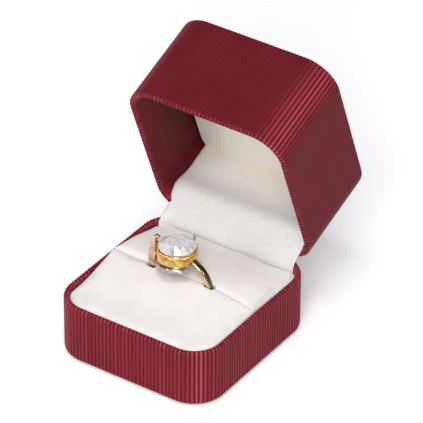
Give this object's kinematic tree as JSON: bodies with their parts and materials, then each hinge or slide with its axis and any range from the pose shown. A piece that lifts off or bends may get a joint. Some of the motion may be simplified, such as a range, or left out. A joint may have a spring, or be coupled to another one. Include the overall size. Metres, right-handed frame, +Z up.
{
  "type": "jewelry gift box",
  "caption": "Hinged ring gift box with rounded corners, ribbed burgundy covering, slotted velvet pads, satin lining and a bypass ring held upright in the slot.",
  "frame": {"origin": "centre of the underside of the base", "axes": "+X across the box, left to right as seen from the front; +Y to the back, towards the hinge; +Z up"},
  "size_m": [0.05, 0.0796, 0.0771],
  "materials": {
    "ribbed_paper": "embossed ribbed leatherette paper, burgundy, low sheen",
    "base_paper": "smooth burgundy paper",
    "moulding": "dark burgundy moulded plastic",
    "foam": "soft open foam",
    "card": "plain grey card",
    "velvet": "off-white short-pile velvet over foam",
    "satin": "cream satin",
    "hinge_steel": "plated steel",
    "spring_steel": "blued spring steel",
    "rivet_steel": "plated steel",
    "gold": "polished yellow metal",
    "white_gold": "polished white metal",
    "crystal": "faceted clear stone"
  },
  "bodies": {
    "base": {"underside_sheet": "base_paper", "base_wrap": "ribbed_paper", "base_shell": "moulding", "riser_foam": "foam", "pad_board": "card", "front_pad": "velvet", "rear_pad": "velvet", "apron_lower": "satin", "hinge_leaf_base": "hinge_steel", "hinge_pin": "hinge_steel", "snap_spring": "spring_steel", "base_rivet_left": "rivet_steel", "base_rivet_right": "rivet_steel"},
    "lid": {"hinge_leaf_lid": "hinge_steel", "lid_rivet_left": "rivet_steel", "lid_rivet_right": "rivet_steel", "apron_upper": "satin", "lid_shell": "moulding", "lid_wrap": "ribbed_paper", "lid_top_sheet": "ribbed_paper", "roof_foam": "foam", "roof_board": "card", "roof_lining": "satin"},
    "ring": {"ring_band": "gold", "ring_collar": "gold", "ring_claw_front": "gold", "ring_claw_back": "gold", "ring_gallery": "white_gold", "ring_stone": "crystal"}
  },
  "joints": [
    {"name": "lid_hinge", "type": "hinge", "parent": "base", "child": "lid", "pos_m": [0, 0.0257, 0.0182], "axis": [-1, 0, 0], "range_deg": [-69, 21], "deforming": ["snap_spring"]},
    {"name": "ring_lift", "type": "slide", "parent": "base", "child": "ring", "axis": [0, 0, 1], "range_m": [0, 0.006]}
  ]
}
